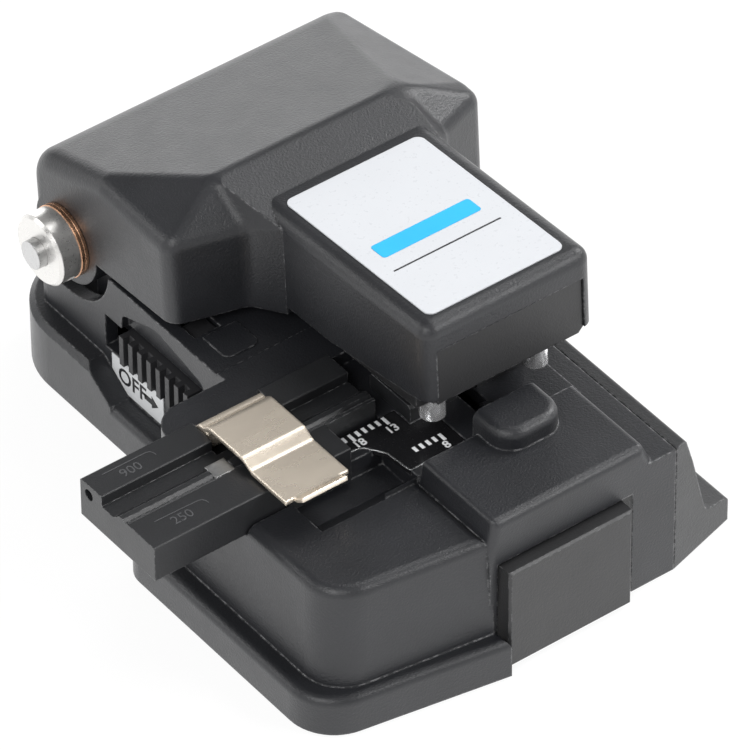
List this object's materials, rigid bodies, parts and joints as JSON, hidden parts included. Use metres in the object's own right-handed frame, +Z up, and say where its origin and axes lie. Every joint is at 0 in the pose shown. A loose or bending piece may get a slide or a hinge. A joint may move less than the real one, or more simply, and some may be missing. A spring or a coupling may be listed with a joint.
{
  "type": "optical fibre cleaver",
  "caption": "Bench-top optical fibre cleaver with a sprung hinged lid, a blade slider, a fibre adapter with a flap and a side lock knob.",
  "frame": {"origin": "on the bench under the cleave point, in the plane of the rubber mat's lower face", "axes": "+Z up, +Y away from the user along the blade's travel, +X to the user's right along the fibre"},
  "size_m": [0.0777, 0.092, 0.0429],
  "materials": {
    "base_casting": "black satin coating",
    "plate_steel": "satin",
    "mat_rubber": "matte",
    "fastener_steel": "satin",
    "cover_casting": "black satin coating",
    "rail_steel": "ground",
    "slider_alloy": "dark satin",
    "blade_carbide": "polished",
    "spring_steel": "bright",
    "scale_black": "gloss black with engraved scale",
    "clamp_alloy": "satin",
    "pad_rubber": "matte",
    "adapter_alloy": "black satin coating",
    "magnet_grey": "satin",
    "flap_nickel": "bright nickel",
    "knob_plastic": "fine matte",
    "label_dark": "satin",
    "label_white": "semi-gloss",
    "collar_steel": "turned",
    "washer_copper": "bright copper colour",
    "bush_bronze": "plain",
    "lid_casting": "black satin coating",
    "frame_alloy": "black satin",
    "stop_chrome": "polished"
  },
  "bodies": {
    "base": {"base_body": "base_casting", "bottom_plate": "plate_steel", "rubber_mat": "mat_rubber", "bottom_screws": "fastener_steel", "right_side_cover": "cover_casting", "side_cover_screws": "fastener_steel", "slide_rail": "rail_steel", "rail_screws": "fastener_steel", "slider_spring": "spring_steel", "fibre_adapter": "adapter_alloy", "adapter_magnet": "magnet_grey", "adapter_screw": "fastener_steel", "flap_pin": "fastener_steel", "scale_plate": "scale_black", "lower_clamp_blocks": "clamp_alloy", "lower_clamp_pads": "pad_rubber", "switch_label": "label_dark", "hinge_shaft": "fastener_steel", "shaft_collar": "collar_steel", "collar_set_screw": "fastener_steel", "spring_washer": "washer_copper", "lid_lift_spring": "spring_steel"},
    "lid": {"lid_cover": "lid_casting", "lid_frame": "frame_alloy", "lid_screws": "fastener_steel", "lid_bottom_plate": "frame_alloy", "lid_plate_screws": "fastener_steel", "stop_screws": "stop_chrome", "clamp_springs": "spring_steel", "anvil_spring": "spring_steel", "lid_catch": "rail_steel", "label_panel": "label_white", "lid_bushes": "bush_bronze"},
    "upper_clamp": {"upper_clamp_block": "clamp_alloy", "upper_clamp_pads": "pad_rubber"},
    "anvil": {"anvil": "rail_steel"},
    "blade_slider": {"slider_front": "slider_alloy", "slider_carriage": "slider_alloy", "blade_screw": "fastener_steel", "height_screw": "fastener_steel"},
    "blade": {"blade_wheel": "blade_carbide"},
    "lock_knob": {"lock_knob": "knob_plastic"},
    "flap": {"adapter_flap": "flap_nickel", "flap_pad": "pad_rubber"}
  },
  "joints": [
    {"name": "lid_hinge", "type": "hinge", "parent": "base", "child": "lid", "pos_m": [0, 0.0485, 0.0246], "axis": [-1, 0, 0], "range_deg": [-3.15, 61.85], "deforming": ["lid_lift_spring"]},
    {"name": "clamp_float", "type": "slide", "parent": "lid", "child": "upper_clamp", "axis": [0, 0.0549, 0.9985], "range_m": [0, 0.0005], "stiffness_N_per_m": 200, "springref_m": -0.001, "deforming": ["clamp_springs"]},
    {"name": "anvil_float", "type": "slide", "parent": "lid", "child": "anvil", "axis": [0, 0.0549, 0.9985], "range_m": [0, 0.001], "stiffness_N_per_m": 100, "springref_m": -0.001, "deforming": ["anvil_spring"]},
    {"name": "blade_slide", "type": "slide", "parent": "base", "child": "blade_slider", "axis": [0, 1, 0], "range_m": [0, 0.018], "stiffness_N_per_m": 40, "springref_m": -0.01, "deforming": ["slider_spring"]},
    {"name": "blade_spin", "type": "hinge", "parent": "blade_slider", "child": "blade", "pos_m": [0, -0.013, 0.01715], "axis": [1, 0, 0], "continuous": true},
    {"name": "lock_slide", "type": "slide", "parent": "base", "child": "lock_knob", "axis": [0, 1, 0], "range_m": [0, 0.004]},
    {"name": "flap_hinge", "type": "hinge", "parent": "base", "child": "flap", "pos_m": [-0.0279, 0.0076, 0.024], "axis": [-1, 0, 0], "range_deg": [0, 100]}
  ]
}
